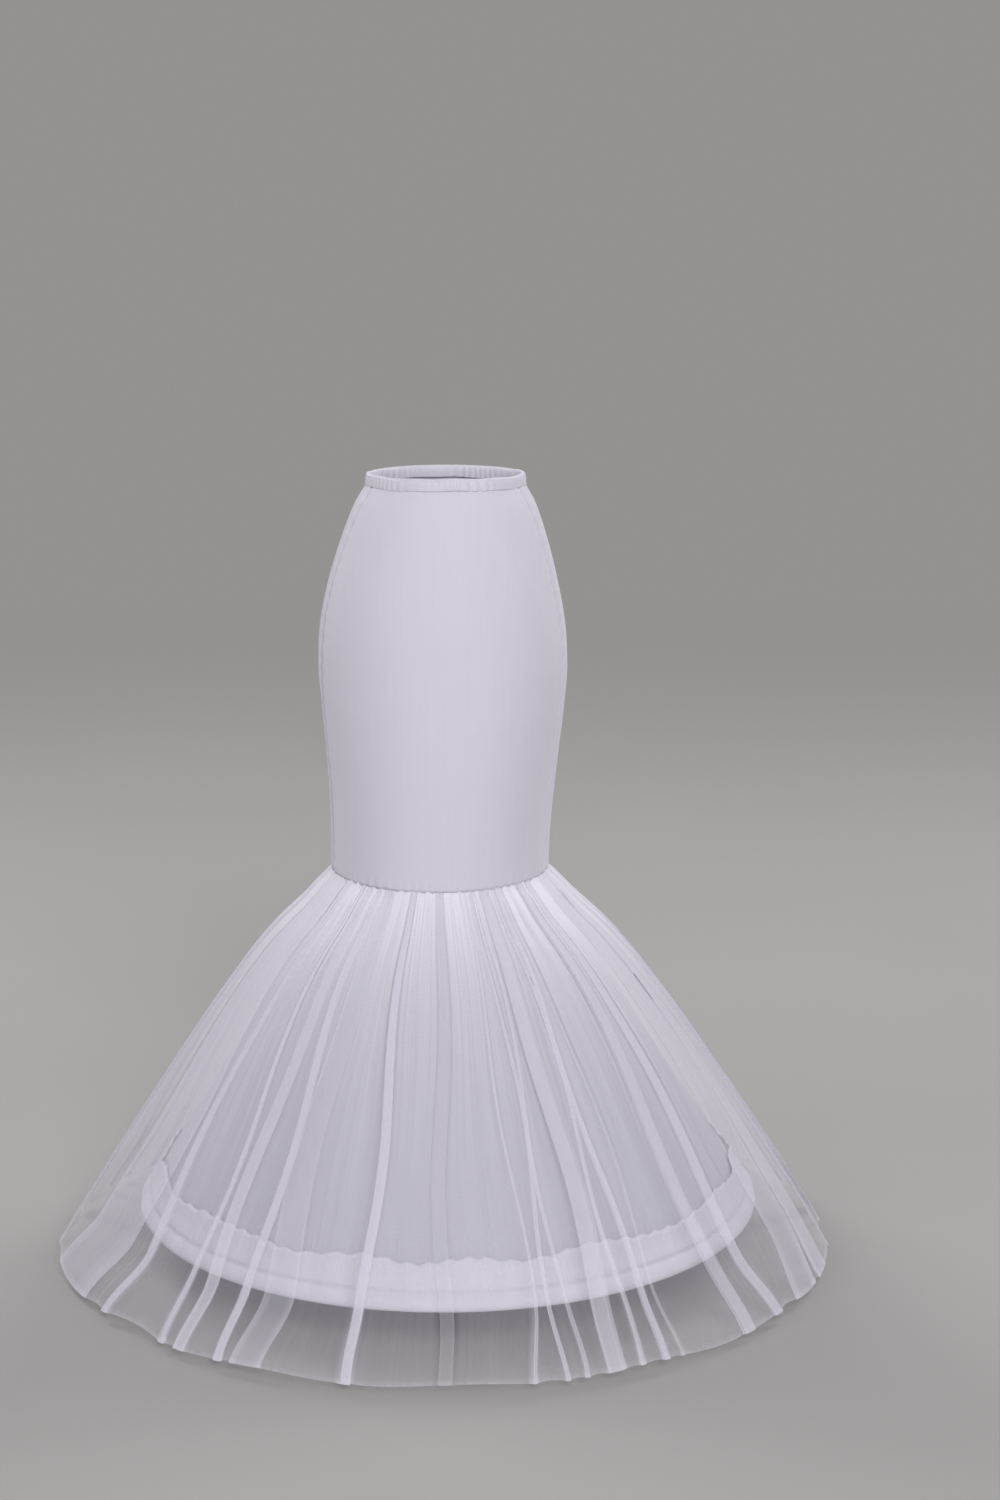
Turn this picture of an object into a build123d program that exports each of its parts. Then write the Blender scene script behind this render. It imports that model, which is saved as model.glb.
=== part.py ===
"""A hooped petticoat: a fitted stretch body, a flared lining on one hoop, and a gathered tulle flounce."""

from math import atan2, cos, degrees, pi, sin, sqrt
import os

from build123d import *

# Heights below the top edge of the waist
waist_casing_height = 16.0
high_hip_drop = 90.0
hip_drop = 245.0
thigh_drop = 400.0
knee_drop = 546.0
hoop_drop = 1018.0
hem_below_hoop = 74.0

# Fitted body, outside, as half of its width and half of its depth, round at the knee
waist_half_width = 105.0
waist_half_depth = 83.0
high_hip_half_width = 140.0
high_hip_half_depth = 110.0
hip_half_width = 169.0
hip_half_depth = 135.0
thigh_half_width = 157.0
thigh_half_depth = 147.0
knee_radius = 150.0
body_cloth = 1.2
side_seam_forward = 35.0
side_seam_allowance = 8.0

# Waist casing, folded over the elastic and the top edge of the body
casing_cloth = 1.0
waist_tongue = 4.0

# Seams: the room between layers that are sewn together, and the raw edges turned up at the knee
seam_gap = 0.3
knee_allowance = 10.0

# Hoop: a flat sprung tape whose ends meet in a flat sleeve at the back
hoop_radius = 424.0
tape_thickness = 1.0
tape_width = 10.0
tape_end_gap = 2.0
sleeve_wall = 0.5
sleeve_length = 40.0
sleeve_clearance = 0.1

# Lining and the casing round its lower edge and the hoop
lining_cloth = 1.2
hoop_casing_height = 58.0
hoop_casing_turn = 28.0
hoop_casing_cloth = 1.0
tunnel_clearance = 0.4
tunnel_below_tape = 3.0

# Tulle flounce: how far it stands outside the hoop, level with it and at the hem, and its folds
tulle_cloth = 1.5
hoop_overhang = 70.0
hem_overhang = 116.0
fold_depth = 18.0
drop_shares = (0.0, 0.173, 0.543, 1.0)
reach_shares = (0.0, 0.232, 0.606, 1.0)
fold_width_shares = (1.00, 0.72, 1.28, 0.90, 1.18, 0.78, 1.36, 0.66, 1.10, 1.02)
fold_height_shares = (1.00, 0.70, 0.88, 1.00, 0.62, 0.95, 1.00, 0.76, 0.98, 0.84)
fold_repeats = 3

# Straight runs in each oval, in each turn of the lining, in each fold and down the fitted body
oval_runs = 48
lining_runs = 64
fold_runs = 5
body_levels = 9

os.makedirs("parts", exist_ok=True)


def oval(half_width, half_depth):
    """Give the corners of an oval drawn in short straight runs."""
    turns = [2 * pi * run / oval_runs for run in range(oval_runs)]
    return [(half_width * cos(turn), half_depth * sin(turn)) for turn in turns]


def oval_band(drop, half_width, half_depth, wall):
    """Draw a level oval band of one wall thickness, measured inwards."""
    with BuildSketch(Plane.XY.offset(-drop)) as band:
        Polygon(*oval(half_width, half_depth), align=None)
        Polygon(*oval(half_width - wall, half_depth - wall), align=None, mode=Mode.SUBTRACT)
    return band.sketch


def faceted_cloth(rings):
    """Join rings of corners, each to the next and the last to the first, with flat facets into one solid."""
    facets = []
    for upper, lower in zip(rings, rings[1:] + rings[:1]):
        for here in range(len(upper)):
            after = (here + 1) % len(upper)
            facets.append(Face(Wire.make_polygon((upper[here], lower[here], lower[after]))))
            facets.append(Face(Wire.make_polygon((upper[here], lower[after], upper[after]))))
    return Solid(Shell(facets))


def finish(piece, name):
    """Label a piece and write it."""
    piece.label = name
    export_step(piece, f"parts/{name}.step")


# Waist casing: one strip folded over, open below, where it takes the body's top edge
casing_out = seam_gap + casing_cloth
slot_width = body_cloth + 2 * seam_gap
casing_width = slot_width + 2 * casing_cloth
casing_ring = oval_band(
    waist_casing_height, waist_half_width + casing_out, waist_half_depth + casing_out, casing_width
)
slot_ring = oval_band(waist_casing_height, waist_half_width + seam_gap, waist_half_depth + seam_gap, slot_width)
with BuildPart() as waist_casing:
    extrude(casing_ring, amount=waist_casing_height)
    extrude(slot_ring, amount=waist_casing_height - casing_cloth, mode=Mode.SUBTRACT)
finish(waist_casing.part, "waist_casing")

# Waist elastic: a flat band joined into a ring, above the body's top edge in the casing
elastic_bottom = waist_casing_height - waist_tongue - seam_gap
elastic_height = elastic_bottom - casing_cloth - seam_gap
with BuildPart() as waist_elastic:
    extrude(oval_band(elastic_bottom, waist_half_width, waist_half_depth, body_cloth), amount=elastic_height)
finish(waist_elastic.part, "waist_elastic")

# Fitted body: a smooth line through its measured levels gives the ovals between the casing and the knee band
knee_band = knee_allowance + 2 * seam_gap
front_seam = Plane.XZ.offset(side_seam_forward)
body_line = Spline(
    (waist_half_width, waist_half_depth, -waist_casing_height),
    (high_hip_half_width, high_hip_half_depth, -high_hip_drop),
    (hip_half_width, hip_half_depth, -hip_drop),
    (thigh_half_width, thigh_half_depth, -thigh_drop),
    (knee_radius, knee_radius, -(knee_drop - knee_band)),
)
body_ovals = [body_line @ (level / body_levels) for level in range(body_levels + 1)]


def body_tube(ovals, inset, wall):
    """Make a tube of cloth through ovals, moved in from their outside, one wall thick."""
    outside = [[(x, y, at.Z) for x, y in oval(at.X - inset, at.Y - inset)] for at in ovals]
    depth = inset + wall
    inside = [[(x, y, at.Z) for x, y in oval(at.X - depth, at.Y - depth)] for at in reversed(ovals)]
    return faceted_cloth(outside + inside)


tongue_oval = body_ovals[0] + Vector(0, 0, waist_tongue)
knee_oval = body_ovals[-1] - Vector(0, 0, knee_band)
body_cloth_tube = body_tube([tongue_oval] + body_ovals + [knee_oval], 0, body_cloth)
seam_edge_tube = body_tube(body_ovals, body_cloth / 2, body_cloth / 2 + side_seam_allowance)


def make_body_panel(name, keep, far_side, edge_plane):
    """Make the front or back panel of the fitted body, its edges turned in along both side seams."""
    with BuildPart() as edges:
        add(seam_edge_tube)
        split(bisect_by=front_seam, keep=keep)
        split(bisect_by=edge_plane, keep=far_side)
    with BuildPart() as panel:
        add(body_cloth_tube)
        split(bisect_by=front_seam, keep=keep)
        add(edges.part)
    finish(panel.part, name)


make_body_panel("body_front", Keep.TOP, Keep.BOTTOM, front_seam.offset(body_cloth))
make_body_panel("body_back", Keep.BOTTOM, Keep.TOP, front_seam.offset(-body_cloth))

# Hoop tunnel: how far its walls stand from the middle of the tape, and where the lining lies in it
tape_out = tape_thickness / 2
bore_out = tape_out + sleeve_clearance
tunnel_out = bore_out + sleeve_wall + tunnel_clearance
lining_out = tunnel_out - seam_gap


def fold_wave():
    """List each bearing round the flounce with how far its folds stand out there, from one in to one out."""
    folds = list(zip(fold_width_shares, fold_height_shares)) * fold_repeats
    width_total = sum(width for width, _ in folds)
    wave = []
    bearing = 0.0
    for fold, (width, height) in enumerate(folds):
        next_height = folds[(fold + 1) % len(folds)][1]
        for run in range(fold_runs):
            part = run / fold_runs
            swing = cos(2 * pi * part) * (height + part * (next_height - height))
            wave.append((bearing + part * width, swing))
        bearing += width
    return [(2 * pi * at / width_total, swing) for at, swing in wave]


# Knee seam: the raw edges turn up inside the body, first the gathered tulle and then the lining
flounce_drop = knee_drop + seam_gap
fold_share = fold_depth / (hoop_radius + hem_overhang)
highest_fold = max(swing for _, swing in fold_wave())
deepest_fold = min(swing for _, swing in fold_wave())
knee_inside = knee_radius * cos(pi / oval_runs) - body_cloth
tulle_top_radius = (knee_inside - seam_gap) / (1 + fold_share * highest_fold)
tulle_hollow = tulle_top_radius * (1 + fold_share * deepest_fold) - tulle_cloth
lining_top_radius = tulle_hollow - seam_gap - lining_out
slope = degrees(atan2(hoop_radius - lining_top_radius, hoop_drop - flounce_drop))


def lining_at(drop, out):
    """Give a point of a section through the lining's slope, moved out from the middle of the hoop."""
    share = (drop - flounce_drop) / (hoop_drop - flounce_drop)
    return lining_top_radius + share * (hoop_radius - lining_top_radius) + out, -drop


def flare(top, bottom, out):
    """Make a solid that widens with the lining's slope, moved out from the middle of the hoop."""
    with BuildPart() as cone:
        with BuildSketch(Plane.XY.offset(-bottom)):
            RegularPolygon(lining_at(bottom, out)[0] / sqrt(cos(pi / lining_runs)), lining_runs)
        extrude(amount=bottom - top, taper=slope)
    return cone.part


# Lining: front and back panels, with their lower edge between the walls of the hoop casing
tape_top = hoop_drop - tape_width / 2
tape_bottom = hoop_drop + tape_width / 2
sleeve_reach = sleeve_clearance + sleeve_wall
lining_end = tape_top - sleeve_reach - seam_gap


def make_lining_panel(name, keep):
    """Make the front or back panel of the flared lining, with the edge that turns up at the knee."""
    with BuildPart() as panel:
        add(flare(flounce_drop, lining_end, lining_out))
        add(flare(flounce_drop, lining_end, lining_out - lining_cloth), mode=Mode.SUBTRACT)
        extrude(panel.faces().sort_by(Axis.Z)[-1], amount=knee_allowance)
        split(bisect_by=front_seam, keep=keep)
    finish(panel.part, name)


make_lining_panel("lining_front", Keep.TOP)
make_lining_panel("lining_back", Keep.BOTTOM)

# Hoop casing: a strip folded under the hoop, high on the outside and low on the inside
tunnel_floor = tape_bottom + tunnel_below_tape
casing_bottom = tunnel_floor + hoop_casing_cloth
casing_top = casing_bottom - hoop_casing_height
turn_top = casing_bottom - hoop_casing_turn
wall_out = tunnel_out + hoop_casing_cloth
with BuildPart() as hoop_casing:
    add(flare(casing_top, casing_bottom, wall_out))
    add(flare(casing_top, tunnel_floor, tunnel_out), mode=Mode.SUBTRACT)
    add(flare(turn_top, tunnel_floor, -tunnel_out))
    add(flare(casing_top, casing_bottom, -wall_out), mode=Mode.SUBTRACT)
finish(hoop_casing.part, "hoop_casing")


def tape_section(reach, out):
    """Draw the section of the tape, grown by a reach above and below, and to an outside on each face."""
    with BuildSketch(Plane.XZ) as section:
        Polygon(
            lining_at(tape_top - reach, out),
            lining_at(tape_bottom + reach, out),
            lining_at(tape_bottom + reach, -out),
            lining_at(tape_top - reach, -out),
            align=None,
        )
    return section.sketch


# Hoop bone: the sprung tape, open by a small gap at the back
hoop_foot = Plane.XY.offset(-tape_bottom)
with BuildPart() as hoop_bone:
    revolve(tape_section(0, tape_out), axis=Axis.Z)
    with BuildSketch(hoop_foot):
        with Locations((0, hoop_radius)):
            Rectangle(tape_end_gap, hoop_radius)
    extrude(amount=tape_width, mode=Mode.SUBTRACT)
finish(hoop_bone.part, "hoop_bone")

# Hoop connector: the flat sleeve over both ends of the tape
with BuildPart() as hoop_connector:
    revolve(tape_section(sleeve_reach, bore_out + sleeve_wall), axis=Axis.Z)
    revolve(tape_section(sleeve_clearance, bore_out), axis=Axis.Z, mode=Mode.SUBTRACT)
    with BuildSketch(hoop_foot.offset(-sleeve_reach)):
        with Locations((0, hoop_radius)):
            Rectangle(sleeve_length, hoop_radius)
    extrude(amount=tape_width + 2 * sleeve_reach, mode=Mode.INTERSECT)
finish(hoop_connector.part, "hoop_connector")


def folded_ring(drop, radius, inset):
    """Give the corners of a ring that waves in and out with the folds of the tulle."""
    corners = []
    for bearing, swing in fold_wave():
        out = radius * (1 + fold_share * swing) - inset
        corners.append((out * cos(bearing), out * sin(bearing), -drop))
    return corners


# Tulle flounce: one length gathered on to the knee seam, its folds opening down to the hem
over_hoop_radius = hoop_radius + hoop_overhang
folded_levels = [(flounce_drop - knee_allowance, tulle_top_radius)]
for drop_share, reach_share in zip(drop_shares, reach_shares):
    level_drop = flounce_drop + drop_share * (hoop_drop - flounce_drop)
    folded_levels.append((level_drop, tulle_top_radius + reach_share * (over_hoop_radius - tulle_top_radius)))
folded_levels.append((hoop_drop + hem_below_hoop, hoop_radius + hem_overhang))
outside = [folded_ring(drop, radius, 0) for drop, radius in folded_levels]
inside = [folded_ring(drop, radius, tulle_cloth) for drop, radius in reversed(folded_levels)]
with BuildPart() as tulle_flounce:
    add(faceted_cloth(outside + inside))
finish(tulle_flounce.part, "tulle_flounce")
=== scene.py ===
"""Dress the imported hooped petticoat: a knit body, a lining on its hoop and a gathered tulle flounce."""

import math

import bpy
import numpy as np
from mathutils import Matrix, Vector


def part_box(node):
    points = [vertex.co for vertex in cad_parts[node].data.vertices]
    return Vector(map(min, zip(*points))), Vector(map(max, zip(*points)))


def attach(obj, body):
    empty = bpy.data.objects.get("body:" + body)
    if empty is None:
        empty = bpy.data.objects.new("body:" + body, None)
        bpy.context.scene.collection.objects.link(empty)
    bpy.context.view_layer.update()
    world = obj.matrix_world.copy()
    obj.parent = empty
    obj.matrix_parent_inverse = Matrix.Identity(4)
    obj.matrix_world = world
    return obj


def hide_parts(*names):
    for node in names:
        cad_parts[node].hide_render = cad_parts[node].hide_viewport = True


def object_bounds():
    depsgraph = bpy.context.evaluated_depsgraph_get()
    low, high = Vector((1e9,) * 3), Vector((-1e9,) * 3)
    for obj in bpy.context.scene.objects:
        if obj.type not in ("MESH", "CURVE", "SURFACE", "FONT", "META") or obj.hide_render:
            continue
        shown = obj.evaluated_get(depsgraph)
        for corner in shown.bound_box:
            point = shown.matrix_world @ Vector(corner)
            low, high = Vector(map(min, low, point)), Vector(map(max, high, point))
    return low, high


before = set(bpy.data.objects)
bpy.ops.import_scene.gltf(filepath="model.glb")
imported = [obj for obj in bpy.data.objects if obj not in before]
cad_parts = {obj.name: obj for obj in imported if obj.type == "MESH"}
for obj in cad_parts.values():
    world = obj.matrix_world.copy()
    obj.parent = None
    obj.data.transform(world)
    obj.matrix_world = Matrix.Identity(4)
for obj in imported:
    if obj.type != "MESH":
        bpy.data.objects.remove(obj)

bl_info = {
    "name": "Hooped petticoat",
    "version": (1, 0, 0),
    "blender": (4, 5, 0),
    "location": "View3D > Sidebar > Petticoat",
    "description": "Dresses a hooped petticoat with knit, lining, tulle and stitches",
    "category": "Object",
}

CAD_BOX = [list(corner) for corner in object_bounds()]
WAIST_LOW, WAIST_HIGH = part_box("waist_casing")
HOOP_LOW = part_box("hoop_casing")[0]

# Fitted body: drop below the waist, half of the width, half of the depth and the sway to one side, in metres
BODY_LEVELS = (
    (0.004, 0.1030, 0.0815, 0.0000),
    (0.016, 0.1080, 0.0860, 0.0000),
    (0.038, 0.1205, 0.0945, -0.0005),
    (0.065, 0.1312, 0.1030, -0.0015),
    (0.093, 0.1405, 0.1105, -0.0025),
    (0.147, 0.1555, 0.1225, -0.0042),
    (0.203, 0.1662, 0.1310, -0.0046),
    (0.258, 0.1695, 0.1365, -0.0045),
    (0.314, 0.1662, 0.1415, -0.0046),
    (0.370, 0.1608, 0.1450, -0.0054),
    (0.426, 0.1553, 0.1475, -0.0068),
    (0.483, 0.1512, 0.1495, -0.0086),
    (0.546, 0.1495, 0.1500, -0.0098),
)
SEAM_FORWARD = 0.035
KNEE_DROP = 0.546
LINING_TOP_RADIUS = 0.1395
HOOP_DROP = 1.018
HOOP_RADIUS = 0.424
LINING_TUCK = 0.0045
BODY_TOP = 0.010

# Thickness of each cloth, in metres
KNIT_THICKNESS = 0.0009
WAIST_THICKNESS = 0.0007
LINING_THICKNESS = 0.0008
CASING_THICKNESS = 0.0008

# Section of the hoop casing, from its upper edge down the outside, under the hoop and up the inside: height
# above the lowest point and distance out from the line of the lining, in metres
CASING_SECTION = (
    (0.058, 0.0022), (0.054, 0.0040), (0.048, 0.0031), (0.041, 0.0025), (0.034, 0.0026), (0.028, 0.0044),
    (0.0235, 0.0036), (0.021, 0.0014), (0.0185, 0.0042), (0.015, 0.0062), (0.011, 0.0072), (0.007, 0.0068),
    (0.0035, 0.0054), (0.001, 0.0030), (0.0, 0.0), (0.0012, -0.0026), (0.004, -0.0042), (0.009, -0.0046),
    (0.016, -0.0040), (0.0205, -0.0028), (0.024, -0.0030), (0.028, -0.0030),
)
CASING_LAST_OUTSIDE_ROW = 13
CASING_STITCH_ROWS = (1, 7)
CASING_STITCH_LIFT = 0.0007
TUNNEL_HEIGHT = 0.021

# Section of the waist casing, up the outside and down the inside: share of its height below the top and
# distance out, in metres
WAIST_SECTION = (
    (1.0, 0.0012), (0.9, 0.0016), (0.74, 0.0014), (0.5, 0.0021), (0.3, 0.0019), (0.12, 0.0015), (0.03, 0.0006),
    (0.0, -0.0006), (0.03, -0.0018), (0.12, -0.0025), (0.5, -0.0029), (0.9, -0.0027), (1.0, -0.0025),
)
WAIST_STITCH_ROWS = (2, 5)
WAIST_STITCH_LIFT = 0.0006

# Tulle: drop below the waist and the radius between its folds
TULLE_LEVELS = (
    (0.539, 0.1452),
    (0.546, 0.1474),
    (0.552, 0.1521),
    (0.564, 0.1640),
    (0.586, 0.1835),
    (0.626, 0.2250),
    (0.669, 0.2625),
    (0.713, 0.2950),
    (0.757, 0.3260),
    (0.801, 0.3550),
    (0.845, 0.3830),
    (0.889, 0.4110),
    (0.934, 0.4390),
    (0.979, 0.4670),
    (1.024, 0.4940),
    (1.060, 0.5160),
    (1.088, 0.5320),
)

# Folds of the tulle at the front: bearing at the hem, lean above it, width at the hem in mm, layers and how
# closely the net lies in them
FRONT_FOLDS = (
    (-72.0, 5.0, 130.0, 3, 0.60),
    (-57.2, 4.0, 11.0, 7, 0.75),
    (-43.2, 1.0, 8.0, 5, 1.00),
    (-39.8, 2.4, 15.0, 5, 0.70),
    (-32.6, 1.6, 11.0, 7, 0.80),
    (-28.2, 2.6, 44.0, 3, 0.50),
    (-13.2, 0.9, 13.0, 7, 0.80),
    (0.4, 0.3, 15.0, 3, 0.12),
    (12.8, 0.8, 4.0, 3, 0.80),
    (17.4, -0.6, 6.0, 5, 0.55),
    (20.2, -1.2, 5.0, 3, 0.75),
    (24.4, -0.5, 26.0, 5, 0.50),
    (28.6, 0.2, 6.0, 3, 1.00),
    (32.4, -1.4, 9.0, 5, 0.80),
    (35.3, -1.4, 4.0, 3, 0.45),
    (48.4, -1.4, 22.0, 5, 0.50),
    (55.8, -2.6, 18.0, 5, 0.60),
    (66.0, 3.0, 70.0, 3, 0.50),
)
NARROW_FOLD = 0.03

# Stage: colours, floor and fade in metres, lamps (name, place, size in metres, power in watts) and camera
BACKDROP = (0.300, 0.287, 0.285)
FLOOR = (0.385, 0.370, 0.365)
FLOOR_GAP = 0.006
FLOOR_REACH = 60.0
FADE = (1.7, 5.5)
ROOM_LIGHT, ROOM_STRENGTH = (0.86, 0.86, 0.90), 0.40
LAMPS = (
    ("key_light", (0.9, -4.9, 2.0), 2.4, 164.0),
    ("fill_light", (-3.4, -3.6, 2.8), 3.4, 30.0),
    ("rim_light_left", (-3.0, 2.8, 2.6), 2.4, 94.0),
    ("rim_light_right", (3.0, 2.8, 2.6), 2.4, 94.0),
)
LAMPS_AIM = (0.0, 0.0, -0.6)
CAMERA_PLACE, CAMERA_TILT = (0.0732, -4.2, 0.569), 77.22
LENS, SENSOR = 75.3, 36.0


class PetticoatCloth(bpy.types.PropertyGroup):
    """Colours of the cloths and the sheerness of the tulle."""

    knit: bpy.props.FloatVectorProperty(
        name="Knit", description="Colour of the fitted body", subtype="COLOR", size=3, min=0, max=1,
        default=(0.684, 0.655, 0.742))
    lining: bpy.props.FloatVectorProperty(
        name="Lining", description="Colour of the flared lining", subtype="COLOR", size=3, min=0, max=1,
        default=(0.500, 0.480, 0.562))
    band: bpy.props.FloatVectorProperty(
        name="Casings", description="Colour of the waist casing and the hoop casing", subtype="COLOR", size=3,
        min=0, max=1, default=(0.694, 0.670, 0.756))
    tulle: bpy.props.FloatVectorProperty(
        name="Tulle", description="Colour of the tulle", subtype="COLOR", size=3, min=0, max=1,
        default=(0.892, 0.866, 0.955))
    thread: bpy.props.FloatVectorProperty(
        name="Thread", description="Colour of the sewing thread", subtype="COLOR", size=3, min=0, max=1,
        default=(0.760, 0.748, 0.815))
    sheer: bpy.props.FloatProperty(
        name="Cover", description="How much one flat layer of tulle hides", subtype="FACTOR", min=0, max=1,
        default=0.175)


class PetticoatFolds(bpy.types.PropertyGroup):
    """Sizes of the folds, gathers and puckers."""

    layer_gap: bpy.props.FloatProperty(
        name="Layer gap", description="Room between two layers of a tulle fold", subtype="DISTANCE",
        unit="LENGTH", min=0.0003, max=0.01, default=0.0009)
    panel_bow: bpy.props.FloatProperty(
        name="Panel bow", description="How far the tulle bows out between folds at the hem",
        subtype="DISTANCE", unit="LENGTH", min=0, max=0.03, default=0.006)
    gather_depth: bpy.props.FloatProperty(
        name="Gather depth", description="Depth of the small gathers under the knee seam", subtype="DISTANCE",
        unit="LENGTH", min=0, max=0.02, default=0.0045)
    lining_fold: bpy.props.FloatProperty(
        name="Lining folds", description="Depth of the soft folds of the lining", subtype="DISTANCE",
        unit="LENGTH", min=0, max=0.03, default=0.0045)
    pucker: bpy.props.FloatProperty(
        name="Casing pucker", description="How far the upper edge of the hoop casing waves",
        subtype="DISTANCE", unit="LENGTH", min=0, max=0.02, default=0.0052)
    seed: bpy.props.IntProperty(
        name="Seed", description="Seed of the folds at the sides and back", min=0, default=7)


class PetticoatStitches(bpy.types.PropertyGroup):
    """Sizes of the stitches."""

    length: bpy.props.FloatProperty(
        name="Stitch length", description="Length of one stitch", subtype="DISTANCE", unit="LENGTH",
        min=0.0005, max=0.02, default=0.0026)
    pitch: bpy.props.FloatProperty(
        name="Stitch pitch", description="From one stitch to the next", subtype="DISTANCE", unit="LENGTH",
        min=0.001, max=0.03, default=0.0035)
    thread: bpy.props.FloatProperty(
        name="Thread width", description="Width of the thread", subtype="DISTANCE", unit="LENGTH",
        min=0.0001, max=0.003, default=0.0006)


# Shapes


def smooth_line(table, column, drops):
    """Read a column of a table of levels at any drops, along a smooth line."""
    levels = np.array([row[0] for row in table])
    values = np.array([row[column] for row in table])
    slopes = np.gradient(values, levels)
    drops = np.clip(drops, levels[0], levels[-1])
    spans = np.clip(np.searchsorted(levels, drops) - 1, 0, len(levels) - 2)
    width = levels[spans + 1] - levels[spans]
    part = (drops - levels[spans]) / width
    start = (1 + 2 * part) * (1 - part) ** 2 * values[spans] + part * (1 - part) ** 2 * width * slopes[spans]
    end = part ** 2 * (3 - 2 * part) * values[spans + 1] + part ** 2 * (part - 1) * width * slopes[spans + 1]
    return start + end


def unevenness(along, down, seed, waves=9):
    """Give a soft unevenness from minus one to one, the same on each run."""
    rng = np.random.default_rng(seed)
    total = np.zeros(np.broadcast(along, down).shape)
    for _ in range(waves):
        across, fall, start = rng.uniform(-1, 1), rng.uniform(-1, 1), rng.uniform(0, 2 * math.pi)
        total += np.sin(across * along + fall * down + start)
    return total / waves * 1.6


def bell(distance, width):
    """Give a soft bump: one at no distance, fading over a width."""
    return np.exp(-(distance / width) ** 2)


def cloth_mesh(name, points, lay, closed=False, extra=None):
    """Make a mesh object from rows of points that run down and round, with their lay on the flat cloth."""
    rows, columns = points.shape[:2]
    numbers = np.arange(rows * columns).reshape(rows, columns)
    if closed:
        numbers = np.concatenate([numbers, numbers[:, :1]], axis=1)
    quads = np.stack([numbers[:-1, :-1], numbers[1:, :-1], numbers[1:, 1:], numbers[:-1, 1:]], axis=-1)
    mesh = bpy.data.meshes.new(name)
    mesh.from_pydata(points.reshape(-1, 3).tolist(), [], quads.reshape(-1, 4).tolist())
    lay_layer = mesh.attributes.new("lay", "FLOAT_VECTOR", "POINT")
    flat = np.zeros((rows * columns, 3), dtype=np.float32)
    flat[:, :2] = lay.reshape(-1, 2)
    lay_layer.data.foreach_set("vector", flat.ravel())
    for label, values in (extra or {}).items():
        layer = mesh.attributes.new(label, "FLOAT", "POINT")
        layer.data.foreach_set("value", values.astype(np.float32).ravel())
    mesh.polygons.foreach_set("use_smooth", [True] * len(mesh.polygons))
    mesh.update()
    piece = bpy.data.objects.new(name, mesh)
    bpy.context.scene.collection.objects.link(piece)
    return piece


def thicken(piece, thickness, offset):
    """Give a cloth its thickness."""
    wall = piece.modifiers.new("thickness", "SOLIDIFY")
    wall.thickness = thickness
    wall.offset = offset


def wear(piece, material, slot, *nodes):
    """Put a material on a piece, let it ride with the petticoat and stand for its nodes."""
    if material is not None:
        piece.data.materials.clear()
        piece.data.materials.append(material)
    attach(piece, "root")
    if nodes:
        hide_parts(*nodes)


def sway(drops):
    """Give how far the petticoat hangs to one side, coming back to the middle at the hoop."""
    back = np.clip((HOOP_DROP - drops) / (HOOP_DROP - KNEE_DROP), 0, 1)
    return smooth_line(BODY_LEVELS, 3, drops) * back


def oval_points(turns, drops, out=0.0):
    """Give points on the fitted body at turns from the front, moved out from its outside."""
    half_width = smooth_line(BODY_LEVELS, 1, drops) + out
    half_depth = smooth_line(BODY_LEVELS, 2, drops) + out
    across = sway(drops) + half_width * np.sin(turns)
    return np.stack(np.broadcast_arrays(across, -half_depth * np.cos(turns), -drops), axis=-1)


def seam_turn(drops):
    """Give the turn from the front to the side seam."""
    return np.arccos(SEAM_FORWARD / smooth_line(BODY_LEVELS, 2, drops))


def round_points(bearing, radius, height):
    """Give points at bearings from the front, at a radius and a height."""
    return np.stack(np.broadcast_arrays(radius * np.sin(bearing), -radius * np.cos(bearing), height), axis=-1)


# Materials


def sum_node(tree, operation, first, second=None):
    """Add one sum to a tree and give its result; a value is a socket or a number."""
    node = tree.nodes.new("ShaderNodeMath")
    node.operation = operation
    for socket, value in zip(node.inputs, (first, second)):
        if value is None:
            continue
        if isinstance(value, (int, float)):
            socket.default_value = value
        else:
            tree.links.new(value, socket)
    return node.outputs[0]


def map_range(tree, value, start, end):
    """Map a value from one range to another; give the node."""
    node = tree.nodes.new("ShaderNodeMapRange")
    node.inputs["From Min"].default_value, node.inputs["From Max"].default_value = start
    node.inputs["To Min"].default_value, node.inputs["To Max"].default_value = end
    tree.links.new(value, node.inputs["Value"])
    return node


def crossing_threads(tree, vector, across, down):
    """Give the product of two sets of bands, one across the cloth and one down it."""
    bands = []
    for direction, scale in (("X", across), ("Y", down)):
        wave = tree.nodes.new("ShaderNodeTexWave")
        wave.wave_type = "BANDS"
        wave.bands_direction = direction
        wave.inputs["Scale"].default_value = scale
        tree.links.new(vector, wave.inputs["Vector"])
        bands.append(wave.outputs["Fac"])
    return sum_node(tree, "MULTIPLY", *bands)


def new_material(name, colour, roughness, sheen):
    """Start a cloth or metal finish: its nodes, links and shader."""
    material = bpy.data.materials.new(name)
    material.use_nodes = True
    nodes, links = material.node_tree.nodes, material.node_tree.links
    shader = next(node for node in nodes if node.type == "BSDF_PRINCIPLED")
    shader.inputs["Base Color"].default_value = (*colour, 1)
    shader.inputs["Roughness"].default_value = roughness
    shader.inputs["Sheen Weight"].default_value = sheen
    shader.inputs["Sheen Roughness"].default_value = 0.5
    shader.inputs["Specular IOR Level"].default_value = 0.25
    return material, nodes, links, shader


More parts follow.
